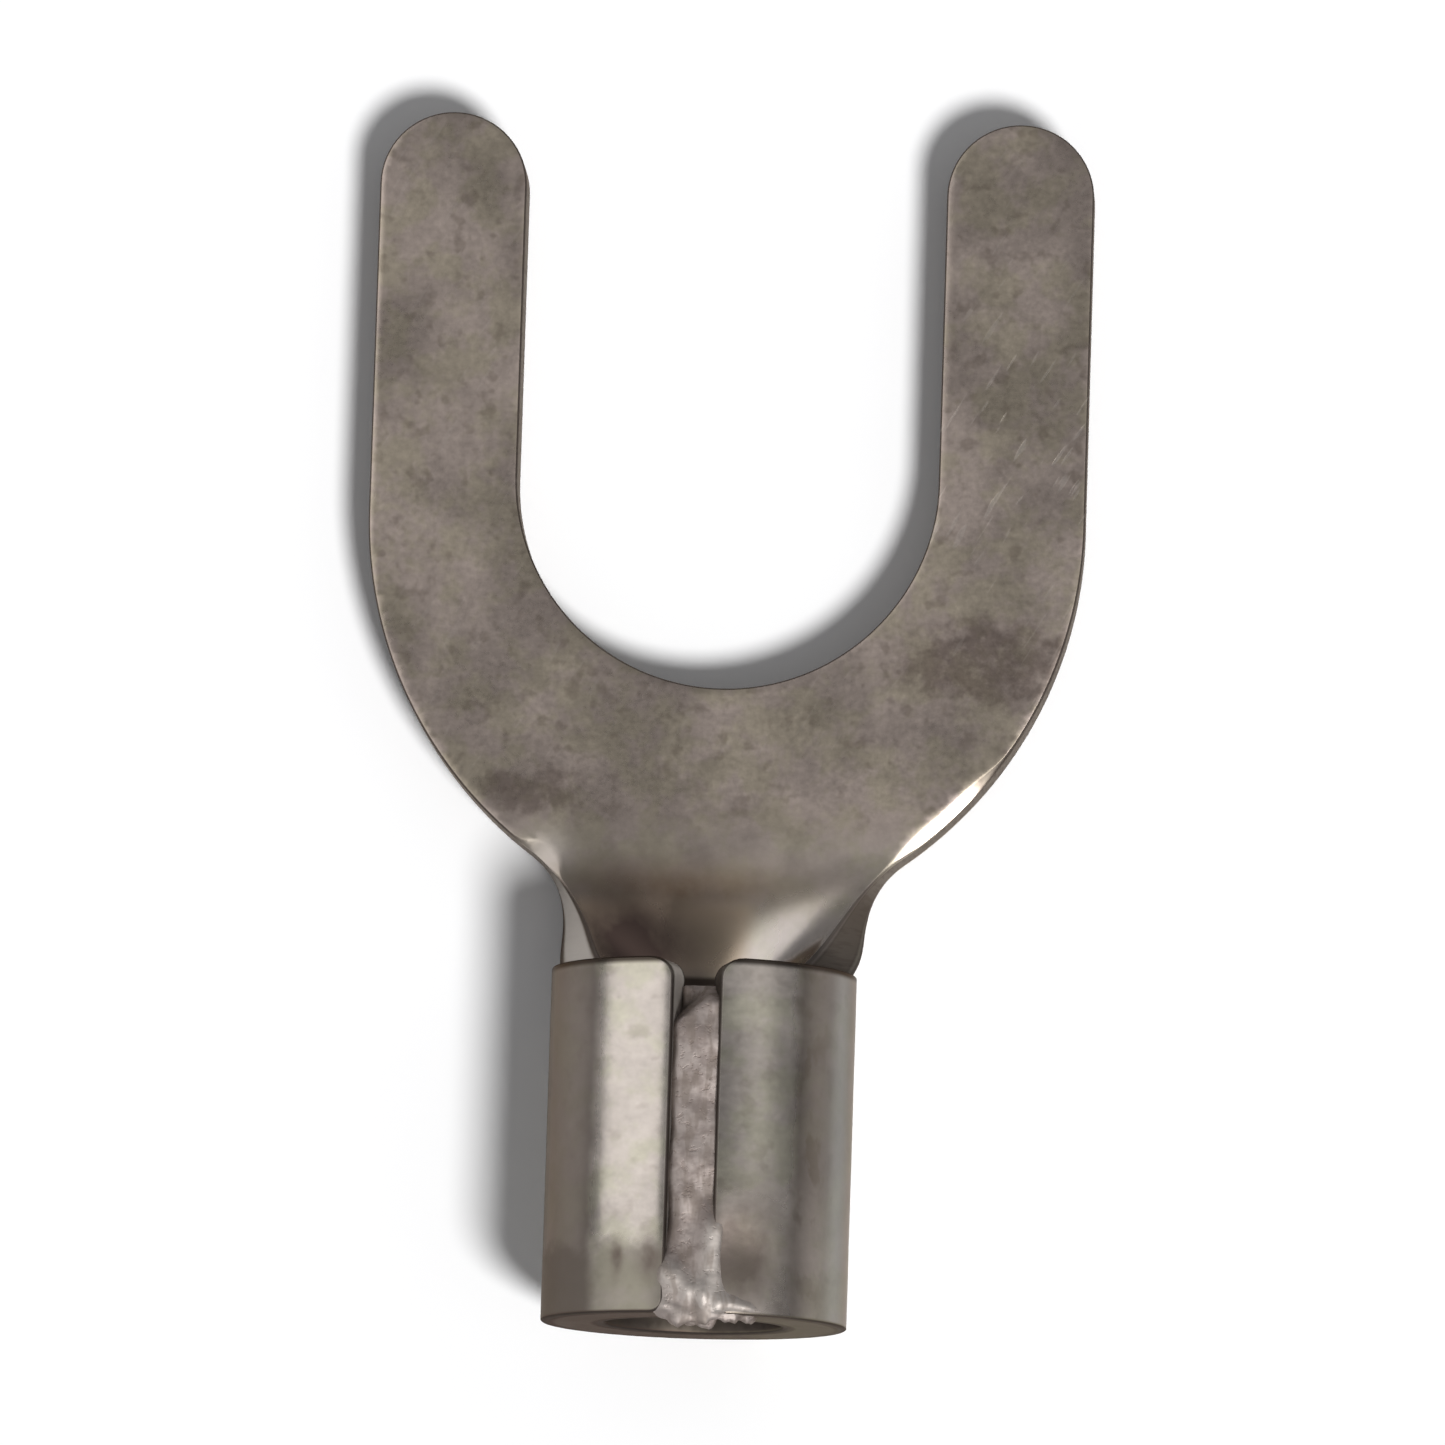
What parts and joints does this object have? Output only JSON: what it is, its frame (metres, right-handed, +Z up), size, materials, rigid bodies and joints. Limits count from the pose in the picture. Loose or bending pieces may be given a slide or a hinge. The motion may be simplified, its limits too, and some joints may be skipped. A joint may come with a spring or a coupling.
{
  "type": "fork terminal",
  "caption": "Bare crimp fork terminal: flat U-shaped tongue that slides under a stud's screw, curled neck and a rolled, brazed wire barrel.",
  "frame": {"origin": "centre of the stud slot's round end, on the underside of the tongue", "axes": "+X across the fork, +Y towards the prong tips, +Z up out of the tongue, on the barrel's seam side"},
  "size_m": [0.009, 0.0155, 0.0039],
  "materials": {
    "tinned_copper": "dull tin plate, tumbled and slightly tarnished"
  },
  "bodies": {
    "root": {"fork_terminal": "tinned_copper"}
  },
  "joints": []
}
